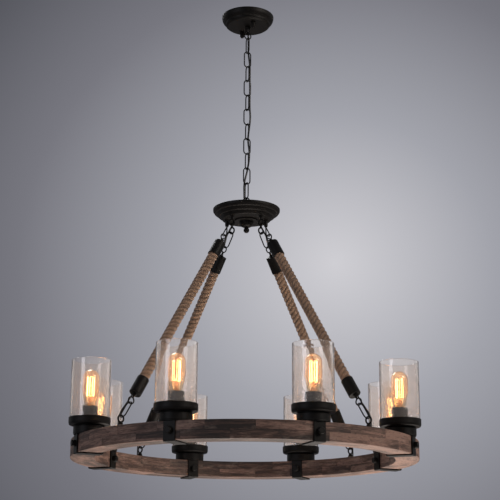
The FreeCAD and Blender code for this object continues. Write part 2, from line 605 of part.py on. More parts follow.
# ================================================================ cables
save("main_cable", cable(MAIN_ROUTE, MAIN_CABLE_R, "main cable"))
branches = []
for route, name in ((BRANCH_TOP_ROUTE, "branch cable, top"), (BRANCH_LOW_ROUTE,
                                                             "branch cable, bottom")):
    for angle in LEG_ANGLES:
        side = 1 if angle in (135.0, 315.0) else -1
        points = [(out, side * across, z) for out, across, z in route]
        branches.append(turned(cable(points, BRANCH_CABLE_R, name), angle))
save("branch_cables", branches)

print("link 1 top %.2f, hub seat %.2f, plate %.2f, eye %.2f, wood top %.2f, low %.2f"
      % (LINK_1_TOP, HUB_SEAT_Z, PLATE_Z, HUB_EYE_Z, WOOD_TOP, WOOD_LOW))
print("leg %.2f long at %.2f deg, ferrule from %.2f" % (LEG_LENGTH, LEG_SLOPE, FERRULE_AT))
print("strap bottom %.2f, shade top %.2f, bulb top %.2f, socket top %.2f"
      % (strap_low, SHADE_Z + SHADE_LENGTH, bulb_top, SOCKET_TOP))
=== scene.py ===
"""Wagon wheel chandelier: a wooden ring with eight glass lights on four rope legs."""
import math

import bpy
import numpy as np
from mathutils import Matrix, Vector


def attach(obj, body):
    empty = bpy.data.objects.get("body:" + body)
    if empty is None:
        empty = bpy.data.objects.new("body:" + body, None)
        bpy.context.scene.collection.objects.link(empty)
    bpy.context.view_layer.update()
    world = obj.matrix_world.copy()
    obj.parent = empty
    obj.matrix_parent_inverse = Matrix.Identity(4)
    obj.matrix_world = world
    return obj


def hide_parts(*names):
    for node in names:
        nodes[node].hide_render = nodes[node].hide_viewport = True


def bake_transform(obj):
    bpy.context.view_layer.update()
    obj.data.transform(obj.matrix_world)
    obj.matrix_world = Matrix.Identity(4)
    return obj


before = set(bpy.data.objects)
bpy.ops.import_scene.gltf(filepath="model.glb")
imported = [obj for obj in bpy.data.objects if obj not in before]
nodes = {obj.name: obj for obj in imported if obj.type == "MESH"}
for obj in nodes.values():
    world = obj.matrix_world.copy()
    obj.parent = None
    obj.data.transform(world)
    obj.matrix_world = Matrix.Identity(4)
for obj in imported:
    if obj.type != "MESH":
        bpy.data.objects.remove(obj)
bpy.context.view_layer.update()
scene = bpy.context.scene
MM = 0.001
SHARP = math.radians(44)      # where faces meet more sharply than this, an edge shows

# ---------------------------------------------------------------------------
# Room.  The photograph is taken from below and in front of the ring with a
# long lens, against a grey wall that is palest behind the rope legs.  Outside
# the picture the wall is pale again, and the edges of the glass show that.
FRAME_PX = 500
FOCAL_PX = 1331.25            # focal length, in pixels of the frame
CAMERA_AT = (0.0096, -3.2799, -1.5686)
CAMERA_PITCH = 15.66          # degrees above the horizontal
CAMERA_ROLL = 0.34
SENSOR = 36.0                 # width, in mm
WALL_Y = 10000                # far enough back for the views from behind
WALL_TOP = 16000
FLOOR_Z = -2600
ROOM_FRONT = -12000
ROOM_SIDE = 24000
WALL_LIGHT_AT = (0.89, 2.02)  # x and z of the palest place on the wall, the middle of its painted pool of light, in metres
WALL_REACH = 12.5             # where the gradient ends, in metres from there
WALL_TONES = [(0.0, "#cfced3"), (1.64, "#a2a3ab"), (3.28, "#77777f"), (4.92, "#505158"),
              (7.5, "#5a5b61"), (10.6, "#a5a5a9"), (12.5, "#c4c4c6")]
WALL_LIFT = 0.24              # how much brighter the wall is, seen through the glass


def linear(colour):
    """The linear RGBA of an sRGB hex colour."""
    parts = [int(colour[i:i + 2], 16) / 255 for i in (1, 3, 5)]
    return [v / 12.92 if v <= 0.04045 else ((v + 0.055) / 1.055) ** 2.4 for v in parts] + [1.0]


def add(material, kind, inputs=None, **settings):
    """Adds a shader node; inputs maps a socket to a value, an output or a node.

    A node stands for its first output.
    """
    tree = material.node_tree
    made = tree.nodes.new("ShaderNode" + kind)
    for name, value in settings.items():
        setattr(made, name, value)
    for socket, value in (inputs or {}).items():
        if isinstance(value, bpy.types.Node):
            value = value.outputs[0]
        if isinstance(value, bpy.types.NodeSocket):
            tree.links.new(value, made.inputs[socket])
        else:
            made.inputs[socket].default_value = value
    return made


def new_material(name):
    """A node material that has only its output node."""
    material = bpy.data.materials.new(name)
    material.use_nodes = True
    material.node_tree.nodes.clear()
    add(material, "OutputMaterial")
    return material


def send(material, node, socket="Surface"):
    """Wires a node to the material's output; returns the material."""
    out = material.node_tree.nodes["Material Output"]
    material.node_tree.links.new(node.outputs[0], out.inputs[socket])
    return material


def place_in(material):
    """Object coordinates, in metres; every piece has the frame's own origin."""
    return add(material, "TexCoord").outputs["Object"]


def weighed(material, value, factor, plus=0.0):
    """value * factor + plus."""
    return add(material, "Math", {0: value, 1: factor, 2: plus}, operation="MULTIPLY_ADD")


def blend_of(material, factor, stops):
    """A colour ramp of (position, hex) stops over a factor."""
    ramp = add(material, "ValToRGB", {"Fac": factor})
    elements = ramp.color_ramp.elements
    while len(elements) < len(stops):
        elements.new(0.5)
    for element, (place, colour) in zip(elements, stops):
        element.position = place
        element.color = linear(colour)
    return ramp.outputs["Color"]


def mesh_piece(name, verts, faces, material, smooth=True):
    """A mesh object from arrays in millimetres; its origin stays at the origin.

    Flat faces stay flat beside rounded edges, because each corner's normal is
    weighted by the areas of the faces that meet there.
    """
    mesh = bpy.data.meshes.new(name)
    mesh.from_pydata((np.asarray(verts, dtype=float) * MM).tolist(), [], faces)
    mesh.polygons.foreach_set("use_smooth", [smooth] * len(mesh.polygons))
    mesh.materials.append(material)
    mesh.update()
    mesh.set_sharp_from_angle(angle=SHARP)
    made = bpy.data.objects.new(name, mesh)
    scene.collection.objects.link(made)
    if smooth:
        weighted = made.modifiers.new("normals by area", "WEIGHTED_NORMAL")
        weighted.keep_sharp = True
    return made


camera_data = bpy.data.cameras.new("camera")
camera_data.sensor_width = SENSOR
camera_data.lens = FOCAL_PX / FRAME_PX * SENSOR
camera = bpy.data.objects.new("camera", camera_data)
camera.matrix_world = (Matrix.Translation(CAMERA_AT)
                       @ Matrix.Rotation(math.radians(90 + CAMERA_PITCH), 4, "X")
                       @ Matrix.Rotation(math.radians(CAMERA_ROLL), 4, "Z"))
scene.collection.objects.link(camera)
scene.camera = camera

# The wall glows in its own colour: a painted pool of light, palest behind the rope legs, darker
# further out and pale again far out.
wall_glow = new_material("grey wall glow")
wall_centre = add(wall_glow, "Mapping", {
    "Vector": place_in(wall_glow),
    "Location": (-WALL_LIGHT_AT[0] / WALL_REACH, 0.0, -WALL_LIGHT_AT[1] / WALL_REACH),
    "Scale": (1 / WALL_REACH, 0.0, 1 / WALL_REACH)})
wall_far = add(wall_glow, "VectorMath", {0: wall_centre}, operation="LENGTH").outputs["Value"]
wall_colour = blend_of(wall_glow, wall_far, [(far / WALL_REACH, tone)
                                              for far, tone in WALL_TONES])
through_glass = add(wall_glow, "LightPath").outputs["Is Transmission Ray"]
send(wall_glow, add(wall_glow, "Emission", {
    "Color": wall_colour, "Strength": weighed(wall_glow, through_glass, WALL_LIFT, 1.0)}))
floor_paint = new_material("pale floor")
send(floor_paint, add(floor_paint, "BsdfPrincipled",
                      {"Base Color": linear("#a9a8aa"), "Roughness": 0.7}))
wall = mesh_piece("wall", [(-ROOM_SIDE, WALL_Y, FLOOR_Z), (ROOM_SIDE, WALL_Y, FLOOR_Z),
                           (ROOM_SIDE, WALL_Y, WALL_TOP), (-ROOM_SIDE, WALL_Y, WALL_TOP)],
                  [(0, 1, 2, 3)], wall_glow, False)
floor = mesh_piece("floor", [(-ROOM_SIDE, ROOM_FRONT, FLOOR_Z), (ROOM_SIDE, ROOM_FRONT, FLOOR_Z),
                             (ROOM_SIDE, WALL_Y, FLOOR_Z), (-ROOM_SIDE, WALL_Y, FLOOR_Z)],
                   [(0, 1, 2, 3)], floor_paint, False)

# Place, aim and size in metres, power in watts.  The tall lamp on the left is
# the pair of soft upright bands in the glass.
for name, place, aim, size, power, colour in (
        ("key", (3.0, -1.9, 0.7), (0.1, 0, -1.0), (1.8, 1.4), 86, "#fff4ea"),
        ("left", (-2.5, -2.4, -0.4), (0, 0, -0.9), (1.3, 2.4), 28, "#f4f4ff"),
        ("back", (-1.4, 2.7, 2.2), (0, 0, -1.0), (1.8, 1.2), 70, "#ffffff"),
        ("below", (0.4, 0.3, -2.45), (0.1, 0, -1.1), (2.4, 1.8), 70, "#fff2e6")):
    lamp_data = bpy.data.lights.new(name, "AREA")
    lamp_data.shape = "RECTANGLE"
    lamp_data.size, lamp_data.size_y = size
    lamp_data.energy = power
    lamp_data.color = linear(colour)[:3]
    lamp = bpy.data.objects.new(name, lamp_data)
    lamp.location = place
    lamp.rotation_euler = (Vector(aim) - Vector(place)).to_track_quat("-Z", "Y").to_euler()
    scene.collection.objects.link(lamp)

world = bpy.data.worlds.new("room light")
world.use_nodes = True
world.node_tree.nodes["Background"].inputs["Color"].default_value = linear("#b9bcc6")
world.node_tree.nodes["Background"].inputs["Strength"].default_value = 0.35
scene.world = world
scene.view_settings.view_transform = "Standard"

# ---------------------------------------------------------------------------
# Ceiling canopy.  A spun steel cup, painted in a nearly black bronze, held up
# by two thumb nuts on the studs of a zinc-plated bar behind it.
CANOPY_PROFILE = [(67.8, 0, 0), (69.0, 0, 0.4), (69.0, -3.0, 1.2), (67.6, -11.5, 20.0),
                  (61.6, -18.8, 3.0), (59.7, -19.4, 0.6), (58.9, -23.6, 5.0), (53.6, -27.5, 3.4),
                  (8.0, -27.5, 0), (5.0, -27.5, 0), (5.0, -26.3, 0), (52.6, -26.3, 3.0),
                  (57.5, -22.6, 4.0), (58.5, -18.2, 0.5), (60.4, -17.6, 3.0), (66.4, -10.5, 19.0),
                  (67.8, -3.0, 1.0)]
STUD_AT = 35.0                # studs from the axis
STUD_TURN = -64.6             # plan angle of the stud bar
NUT_R = 5.8
NUT_TOP = -27.8
NUT_LENGTH = 17.5
NUT_GROOVES = 16
BRONZE = "#080706"
BRONZE_LIGHT = "#110e0c"
ZINC = "#8e8f8e"


def filleted(profile, steps=6):
    """Corners (r, z, radius) rounded with arcs; returns (r, z) points of the outline."""
    points = [np.array(p[:2], dtype=float) for p in profile]
    made = []
    for i, corner in enumerate(profile):
        here, before, after = points[i], points[i - 1], points[(i + 1) % len(points)]
        back, on = before - here, after - here
        long_back, long_on = np.linalg.norm(back), np.linalg.norm(on)
        half = 0.0
        if corner[2] and long_back > 1e-6 and long_on > 1e-6:
            back, on = back / long_back, on / long_on
            half = math.acos(max(-1.0, min(1.0, float(back @ on)))) / 2
        if half < 0.02 or half > math.pi / 2 - 0.02:
            made.append(here)
            continue
        reach = min(corner[2] / math.tan(half), 0.48 * long_back, 0.48 * long_on)
        radius = reach * math.tan(half)
        centre = here + (back + on) / np.linalg.norm(back + on) * radius / math.sin(half)
        first, last = here + back * reach - centre, here + on * reach - centre
        sweep = math.atan2(first[0] * last[1] - first[1] * last[0], float(first @ last))
        for k in range(steps + 1):
            turn = sweep * k / steps
            made.append(centre + np.array([first[0] * math.cos(turn) - first[1] * math.sin(turn),
                                           first[0] * math.sin(turn) + first[1] * math.cos(turn)]))
    return np.array(made)


def grid_faces(rows, columns, closed=False):
    """Quads of a grid whose columns run all the way round; closed joins its last row on too."""
    i, j = np.meshgrid(np.arange(rows if closed else rows - 1), np.arange(columns),
                       indexing="ij")
    up, on = (i + 1) % rows, (j + 1) % columns
    return np.stack([i * columns + j, i * columns + on, up * columns + on, up * columns + j],
                    -1).reshape(-1, 4).tolist()


def spun(outline, columns=96, closed=False):
    """Surface of revolution: (r, z) goes to (r cos t, r sin t, z), t over a full turn.

    An outline that starts and ends on the axis is closed there with a fan of
    triangles; a closed outline makes a ring.  The sign of the outline's area,
    half the sum of r dz - z dr, tells which way round the faces have to go.
    """
    outline = np.asarray(outline, dtype=float)
    start_pole, end_pole = outline[0][0] < 1e-6, outline[-1][0] < 1e-6
    body = outline[int(start_pole):len(outline) - int(end_pole)]
    t = np.linspace(0, 2 * math.pi, columns, endpoint=False)
    verts = np.stack([body[:, 0, None] * np.cos(t), body[:, 0, None] * np.sin(t),
                      np.repeat(body[:, 1, None], columns, 1)], -1).reshape(-1, 3)
    faces = grid_faces(len(body), columns, closed)
    first = np.arange(columns)
    for pole, height, ring in ((start_pole, outline[0][1], first[::-1]),
                               (end_pole, outline[-1][1], first + (len(body) - 1) * columns)):
        if pole:
            verts = np.vstack([verts, [[0, 0, height]]])
            faces += np.stack([np.full(columns, len(verts) - 1), ring, np.roll(ring, -1)],
                              -1).tolist()
    r, z = outline.T
    if np.sum(r * np.roll(z, -1) - z * np.roll(r, -1)) < 0:
        faces = [face[::-1] for face in faces]
    return verts, faces


def noise(material, place, scale, detail=2.0, **sockets):
    """Noise; scale is in waves per metre, one number or one for each axis of the place."""
    if not isinstance(scale, float):
        place, scale = add(material, "Mapping", {"Vector": place, "Scale": scale}), 1.0
    return add(material, "TexNoise", {"Vector": place, "Scale": scale, "Detail": detail,
                                      **sockets})


def ranged(material, value, low, high, to_low=0.0, to_high=1.0, **settings):
    """A value carried from one range to another and held at its ends."""
    return add(material, "MapRange", {"Value": value, "From Min": low, "From Max": high,
                                      "To Min": to_low, "To Max": to_high}, **settings)


def bumped(material, height, strength, distance):
    """The normal of a surface with a relief of the given height, in metres."""
    return add(material, "Bump", {"Height": height, "Strength": strength, "Distance": distance})


def painted_metal(name, dark, light):
    """Satin baked paint over steel: a fine orange-peel and faint darker patches."""
    material = new_material(name)
    place = place_in(material)
    # Patches of rubbed finish are a few centimetres across.
    patches = noise(material, place, 34.0, 3.0)
    # The paint's orange peel has a 1 mm wave; drawn at 1.6 mm so that it shows.
    peel = noise(material, place, 620.0)
    return send(material, add(material, "BsdfPrincipled", {
        "Base Color": blend_of(material, patches, [(0.35, dark), (0.68, light)]),
        "Roughness": ranged(material, patches, 0.0, 1.0, 0.42, 0.56),
        "Normal": bumped(material, peel, 0.18, 0.0004), "Specular IOR Level": 0.12}))


def bare_metal(name, colour, roughness):
    """Plated metal: a bright reflecting base, clouded by handling."""
    material = new_material(name)
    # Handling marks are about a centimetre across.
    clouds = noise(material, place_in(material), 90.0, 3.0)
    return send(material, add(material, "BsdfPrincipled", {
        "Base Color": linear(colour), "Metallic": 1.0,
        "Roughness": ranged(material, clouds, 0.0, 1.0, roughness - 0.1, roughness + 0.12)}))


def dress(material, *names):
    """Gives CAD nodes a finish in every material slot they have."""
    for name in names:
        mesh = nodes[name].data
        if not mesh.materials:
            mesh.materials.append(material)
        for index in range(len(mesh.materials)):
            mesh.materials[index] = material


bronze = painted_metal("oil-rubbed bronze paint", BRONZE, BRONZE_LIGHT)
zinc = bare_metal("zinc-plated steel", ZINC, 0.38)

canopy = mesh_piece("canopy_cup", *spun(filleted(CANOPY_PROFILE, 8), 128, True), bronze)
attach(canopy, "canopy")
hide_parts("canopy_shell")
dress(bronze, "canopy_loop")
dress(zinc, "crossbar", "canopy_stud_bar", "canopy_nipple")

NUT_LOW = NUT_TOP - NUT_LENGTH
nut_outline = filleted([(2.6, NUT_TOP, 0), (NUT_R, NUT_TOP, 0.6), (NUT_R, NUT_LOW + 4.5, 5.0),
                        (3.4, NUT_LOW, 2.4), (0, NUT_LOW, 0)], 6)
for name, side, body in (("thumb_nut_right", 1, "nut_right"), ("thumb_nut_left", -1, "nut_left")):
    verts, faces = spun(nut_outline, 96)
    angle = np.arctan2(verts[:, 1], verts[:, 0])
    # The grip: shallow flutes cut into the upper half of the nut.
    grip = np.clip((verts[:, 2] - NUT_LOW - 7.0) / 1.5, 0, 1) * np.clip(
        (NUT_TOP - 1.2 - verts[:, 2]) / 0.6, 0, 1)
    shrink = 1 - 0.045 * grip * (0.5 + 0.5 * np.cos(NUT_GROOVES * angle))
    verts[:, :2] *= shrink[:, None]
    verts[:, 0] += side * STUD_AT * math.cos(math.radians(STUD_TURN))
    verts[:, 1] += side * STUD_AT * math.sin(math.radians(STUD_TURN))
    nut = mesh_piece(name + "_knurled", verts, faces, bronze)
    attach(nut, body)
    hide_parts(name)

phenolic = painted_metal("black phenolic", "#0c0b0b", "#121110")
dress(phenolic, "wire_connectors")

# ---------------------------------------------------------------------------
# Chain.  Eleven welded links of 3.1 mm wire, painted like the canopy, hang
# from the canopy's ring, every second one turned a quarter.
RING_R = 9.4
RING_WIRE = 1.6
RING_Z = -53.55
CHAIN_TURN = 25.0
LINK_LENGTH = 47.1
LINK_BEND = 9.2
LINK_WIRE = 1.55
LINK_PITCH = 40.85
LINK_1_TOP = -58.2
LINK_COUNT = 11
WELD = 0.13                   # how much thicker the wire is at its weld
WELD_REACH = 1.6


def tube(path, radius, sides=16, closed=False):
    """Round tube along a path: each section is a circle square to the path.

    The section's directions are carried along the path without twist.
    Returns vertices, faces, and each vertex's turn (0-1) and distance along.
    """
    path = np.asarray(path, dtype=float)
    count = len(path)
    ahead = np.roll(path, -1, 0) - np.roll(path, 1, 0)
    if not closed:
        ahead[0], ahead[-1] = path[1] - path[0], path[-1] - path[-2]
    ahead /= np.linalg.norm(ahead, axis=1)[:, None]
    side = np.cross(ahead[0], [0.31, 0.17, 0.93])
    sides_at = np.empty_like(path)
    for k in range(count):
        side = side - ahead[k] * (side @ ahead[k])
        side /= np.linalg.norm(side)
        sides_at[k] = side
    other = np.cross(ahead, sides_at)
    if closed:
        last = sides_at[0]
        slip = math.atan2(last @ other[-1], last @ sides_at[-1])
        turn = slip * np.arange(count) / count
        sides_at, other = (sides_at * np.cos(turn)[:, None] + other * np.sin(turn)[:, None],
                           other * np.cos(turn)[:, None] - sides_at * np.sin(turn)[:, None])
    radii = np.broadcast_to(np.asarray(radius, dtype=float), (count,))
    t = np.linspace(0, 2 * math.pi, sides, endpoint=False)
    verts = path[:, None] + radii[:, None, None] * (
        sides_at[:, None] * np.cos(t)[None, :, None] + other[:, None] * np.sin(t)[None, :, None])
    faces = grid_faces(count, sides, closed)
    if not closed:
        faces.append(list(range(sides))[::-1])
        faces.append([(count - 1) * sides + k for k in range(sides)])
    steps = np.linalg.norm(np.diff(path, axis=0), axis=1)
    along = np.concatenate([[0.0], np.cumsum(steps)])
    return (verts.reshape(-1, 3), faces, np.tile(t / (2 * math.pi), count),
            np.repeat(along, sides))


def link_path(bend, straight, steps=20):
    """Centre line of a link in the XZ plane: two half circles and two straight sides."""
    t = np.linspace(0, math.pi, steps + 1)
    top = np.stack([bend * np.cos(t), 0 * t, straight + bend * np.sin(t)], -1)
    low = np.stack([-bend * np.cos(t), 0 * t, -straight - bend * np.sin(t)], -1)
    return np.vstack([top, low]) if straight > 0 else np.vstack([top[:-1], low[:-1]])


def turned(verts, degrees):
    """Points turned about the vertical axis."""
    a = math.radians(degrees)
    spin = np.array([[math.cos(a), -math.sin(a), 0], [math.sin(a), math.cos(a), 0], [0, 0, 1]])
    return np.asarray(verts) @ spin.T


def together(parts):
    """One set of vertices and faces from several."""
    verts, faces, count = [], [], 0
    for part_verts, part_faces in parts:
        verts.append(part_verts)
        faces += [[k + count for k in face] for face in part_faces]
        count += len(part_verts)
    return np.vstack(verts), faces


ring_verts, ring_faces, _, _ = tube(link_path(RING_R, 0.0), RING_WIRE, 16, True)
ring_verts = turned(ring_verts, CHAIN_TURN)
link_verts, link_faces, _, _ = tube(
    link_path(LINK_BEND, LINK_LENGTH / 2 - LINK_WIRE - LINK_BEND), LINK_WIRE, 16, True)
canopy_ring = mesh_piece("canopy_ring_wire", ring_verts + [0, 0, RING_Z], ring_faces, bronze)
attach(canopy_ring, "ring")
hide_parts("canopy_ring")
for number in range(1, LINK_COUNT + 1):
    middle = LINK_1_TOP - LINK_PITCH * (number - 1) - LINK_LENGTH / 2
    link_turn = CHAIN_TURN + 90 * (number % 2)
    verts = turned(link_verts, link_turn) + [0, 0, middle]
    # The butt weld: a slight swelling in the middle of one side.
    outward = turned([[1.0, 0, 0]], link_turn)[0]
    weld = WELD * np.exp(-((verts[:, 2] - middle) / WELD_REACH) ** 2) * (verts @ outward > 0)
    bulge = (verts - outward * LINK_BEND) * [1, 1, 0]
    verts = verts + bulge * weld[:, None]
    link = mesh_piece("link_%02d_wire" % number, verts, link_faces, bronze)
    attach(link, "link_%02d" % number)
    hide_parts("chain_link_%02d" % number)

# ---------------------------------------------------------------------------
# Main cable.  A round three-core flex in a black jacket, 4.7 mm, woven by
# hand in and out of the links from the canopy's collar to the hub.
CABLE_R = 2.35
# Control points of the cable, from the canopy down to the hub.
CABLE_ROUTE = [
    (1.0, 5.5, -31.0), (1.0, 5.5, -46.0), (2.2, 6.8, -68.0), (1.8, 7.6, -102.0),
    (6.8, -3.5, -141.5), (6.5, -3.1, -182.0), (6.9, -3.3, -224.0),
    (6.5, -3.0, -262.0), (8.6, -3.8, -286.0), (6.9, -3.6, -308.0),
    (1.4, 8.7, -347.5), (7.8, -5.1, -389.0), (2.3, 8.4, -429.0),
    (-7.2, 2.4, -469.0), (-6.2, 2.5, -500.0), (-6.2, 2.5, -527.85)]
JACKET = "#0e0d0d"
YOKE_PIVOT = -47.4            # where the canopy's ring hangs in its yoke
RING_PIVOT = -62.95           # where the first link hangs in the ring
FIRST_CUTS = (-55.2, -90.0)   # between these heights lies the span across the ring and first link


def smooth_route(name, points, resolution=24):
    """Points (mm) along the NURBS spline that has the route as its control points."""
    curve = bpy.data.curves.new(name, "CURVE")
    curve.dimensions = "3D"
    curve.resolution_u = resolution
    spline = curve.splines.new("NURBS")
    spline.points.add(len(points) - 1)
    for point, place in zip(spline.points, points):
        point.co = (*[v * MM for v in place], 1.0)
    spline.order_u = 3
    spline.use_endpoint_u = True
    carrier = bpy.data.objects.new(name, curve)
    scene.collection.objects.link(carrier)
    line = bpy.data.meshes.new_from_object(carrier)
    made = np.empty(len(line.vertices) * 3)
    line.vertices.foreach_get("co", made)
    bpy.data.objects.remove(carrier)
    bpy.data.curves.remove(curve)
    return made.reshape(-1, 3) / MM


def flex_jacket(name):
    """Extruded PVC jacket: smooth, slightly greasy sheen, with a ripple of 4 mm."""
    material = new_material(name)
    ripple = noise(material, place_in(material), 240.0, 1.0)
    return send(material, add(material, "BsdfPrincipled", {
        "Base Color": linear(JACKET), "Roughness": 0.42,
        "Normal": bumped(material, ripple, 0.12, 0.0003)}))


jacket = flex_jacket("black PVC jacket")
cable_line = smooth_route("main_cable_route", CABLE_ROUTE, 40)
# Each span reaches across one joint of the chain, at the wire it hangs from.
bodies = ["canopy", "ring"] + ["link_%02d" % k for k in range(1, LINK_COUNT + 1)] + ["fixture"]
pivots = [YOKE_PIVOT, RING_PIVOT] + [LINK_1_TOP - LINK_PITCH * k - LINK_LENGTH + LINK_WIRE
                                     for k in range(LINK_COUNT)]
cuts = ([cable_line[0, 2], *FIRST_CUTS]
        + [(a + b) / 2 for a, b in zip(pivots[2:], pivots[3:])] + [cable_line[-1, 2]])
for number, (upper, lower) in enumerate(zip(bodies, bodies[1:])):
    high, low = cuts[number], cuts[number + 1]
    inside = (cable_line[:, 2] <= high + 1e-6) & (cable_line[:, 2] >= low - 1e-6)
    ends = [np.array([np.interp(-z, -cable_line[:, 2], cable_line[:, k]) for k in range(3)])
            for z in (high, low)]
    span = np.vstack([ends[0], cable_line[inside], ends[1]])
    apart = np.linalg.norm(np.diff(span, axis=0), axis=1)
    span = span[np.concatenate([[True], apart > 0.05])]
    verts, faces, _, along = tube(span, CABLE_R, 20)
    part = mesh_piece("main_cable_%02d" % number, verts, faces, jacket)
    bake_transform(part)
    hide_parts("main_cable")

# ---------------------------------------------------------------------------
# Hub.  Two spun steel shells meet at the rim; the lower one steps down in
# three rings to a flat plate.  A rod with the finial clamps them together.
HUB_RING_Z = -518.45
HUB_FOOT_R = 9.5
HUB_SEAT = -533.0
HUB_R = 86.2
HUB_RIM = -543.0
HUB_PLATE = -570.0
HUB_FLAT_R = 56.6
HUB_WALL = 1.6
HUB_LIP = 2.0                 # upright edge of each shell at the rim
ROD_HOLE = 3.2
HUB_RINGS = 3
CAP_OUTLINE = [(ROD_HOLE, HUB_PLATE, 0), (31.0, HUB_PLATE, 0.3), (31.0, -573.5, 0.9),
               (18.6, -573.5, 1.0), (17.6, -579.0, 7.0), (14.0, -586.0, 6.0), (8.0, -589.0, 1.6),
               (ROD_HOLE, -589.0, 0)]
FINIAL_NECK_R = 4.6
FINIAL_BALL_R = 7.4
FINIAL_BALL_Z = -596.7

foot_top = HUB_RING_Z - RING_R
foot = spun(filleted([(0, foot_top + 0.6, 0), (4.5, foot_top + 0.6, 0.8), (7.5, foot_top, 1.2),
                      (HUB_FOOT_R, foot_top - 0.9, 0.9), (HUB_FOOT_R, HUB_SEAT, 0.4),
                      (0, HUB_SEAT, 0)], 5), 64)
hub_loop = mesh_piece("hub_loop_ring", *together([
    (ring_verts + [0, 0, HUB_RING_Z], ring_faces), foot]), bronze)
lid = mesh_piece("hub_lid", *spun(filleted([
    (ROD_HOLE, HUB_SEAT, 0), (12.5, HUB_SEAT, 2.0), (31.0, -534.1, 30.0), (52.0, -536.0, 60.0),
    (72.0, -538.6, 60.0), (HUB_R, HUB_RIM + HUB_LIP, 0.9), (HUB_R, HUB_RIM, 0),
    (HUB_R - HUB_WALL, HUB_RIM, 0), (HUB_R - HUB_WALL, HUB_RIM + 0.7, 0),
    (52.0, -537.6, 60.0), (12.0, HUB_SEAT - HUB_WALL, 2.0), (ROD_HOLE, HUB_SEAT - HUB_WALL, 0)],
    8), 160, True), bronze)
rings = []
step_out = (HUB_R - HUB_FLAT_R) / HUB_RINGS
step_down = (HUB_RIM - HUB_LIP - HUB_PLATE) / HUB_RINGS
for k in range(HUB_RINGS):
    r, z = HUB_R - step_out * k, HUB_RIM - HUB_LIP - step_down * k
    rings += [(r - 0.3, z - 2.2, 1.8), (r - step_out * 0.42, z - step_down * 0.93, 3.4),
              (r - step_out * 0.9, z - step_down, 1.2)]
dish_outline = ([(HUB_R - HUB_WALL, HUB_RIM, 0), (HUB_R, HUB_RIM, 0.3)] + rings
                + [(HUB_FLAT_R - 2.0, HUB_PLATE, 1.5), (ROD_HOLE, HUB_PLATE, 0),
                   (ROD_HOLE, HUB_PLATE + HUB_WALL, 0),
                   (HUB_FLAT_R - HUB_WALL, HUB_PLATE + HUB_WALL, 2.0)])
dish = mesh_piece("hub_dish", *spun(filleted(dish_outline, 7), 160, True), bronze)
cap = mesh_piece("hub_cap_turned", *spun(filleted(CAP_OUTLINE, 8), 96, True), bronze)
start = math.acos(FINIAL_NECK_R / FINIAL_BALL_R)
ball = [(FINIAL_BALL_R * math.cos(a), FINIAL_BALL_Z + FINIAL_BALL_R * math.sin(a))
        for a in np.linspace(start, -math.pi / 2, 28)]
ball[-1] = (0.0, ball[-1][1])
finial = mesh_piece("finial_ball", *spun(np.vstack([filleted(
    [(0, -589.3, 0), (FINIAL_NECK_R, -589.3, 0.5), (FINIAL_NECK_R, -590.8, 0)], 4), ball]), 64),
    bronze)

EYE_OUT = 53.0
HUB_EYE_Z = -587.0
EYE_R = 8.0
EYE_WIRE = 2.0
LEG_ANGLES = (45.0, 135.0, 225.0, 315.0)
GLAND_OUT = 50.0


def spread(part, out, angles):
    """Copies of a part, moved out from the axis and turned to each of the angles."""
    return together([(turned(part[0] + [out, 0, 0], a), part[1]) for a in angles])


eye_verts, eye_faces, _, _ = tube(link_path(EYE_R, 0.0), EYE_WIRE, 16, True)
stem = spun(filleted([(0, HUB_EYE_Z + EYE_R - 0.5, 0), (2.6, HUB_EYE_Z + EYE_R + 0.6, 1.0),
                      (3.0, -573.0, 0.5), (5.2, -572.4, 0.6), (5.2, HUB_PLATE, 0),
                      (0, HUB_PLATE, 0)], 4), 32)
one_eye = together([(eye_verts + [0, 0, HUB_EYE_Z], eye_faces), stem])
eyes = mesh_piece("hub_eye_bolts", *spread(one_eye, EYE_OUT, LEG_ANGLES), bronze)
one_gland = spun(filleted([(2.0, HUB_PLATE, 0), (6.2, HUB_PLATE, 0), (6.2, -572.4, 0.7),
                           (5.0, -572.6, 0.3), (5.0, -584.5, 0.8), (3.6, -588.0, 1.6),
                           (2.0, -588.0, 0.2)], 5), 40, True)
glands = mesh_piece("cable_gland_pair", *together(
    [(one_gland[0] + [x, 0, 0], one_gland[1]) for x in (GLAND_OUT, -GLAND_OUT)]), phenolic)
for part, node_name, body, slot in (
        (hub_loop, "hub_loop", "fixture", "bronze_paint"),
        (lid, "hub_cover", "fixture", "bronze_paint"),
        (dish, "hub_plate", "fixture", "bronze_paint"),
        (cap, "hub_cap", "fixture", "bronze_paint"),
        (finial, "finial", "finial", "bronze_paint"),
        (eyes, "hub_eyes", "fixture", "bronze_paint"),
        (glands, "cable_glands", "fixture", "phenolic")):
    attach(part, body)
    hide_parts(node_name)
dress(zinc, "hub_rod")

# ---------------------------------------------------------------------------
# Rope legs.  Each leg is a welded link, a steel ferrule with an eye, a
# three-strand jute rope of 25 mm, and the same again down to the ring.
LEG_LENGTH = 638.04           # from the middle of the hub's eye to that of the ring's
LEG_SLOPE = 57.478            # degrees below the horizontal
LEG_LINK_AT = 2.85            # the names with AT are distances down the leg
FERRULE_EYE_AT = 53.2
FERRULE_EYE_R = 8.0
FERRULE_EYE_WIRE = 1.6
FERRULE_AT = 73.0
FERRULE_LENGTH = 45.0
FERRULE_R = 14.5
ROPE_R = 12.5
ROPE_LAY = 37.0               # one turn of a strand
ROPE_INSET = 6.0              # from a ferrule's mouth for the shank to the rope's end
STRANDS = 3
# Three round strands of 0.464 R just touch; they press flat, so each is drawn wider.
STRAND_R = ROPE_R * 0.464 * 1.2
STRAND_OUT = ROPE_R - STRAND_R
JUTE = ("#5c4230", "#8c6d54", "#b5957a")
JUTE_SHADE = "#140c07"        # painted shade and some dust, deep between the strands
BRANCH_R = 1.65
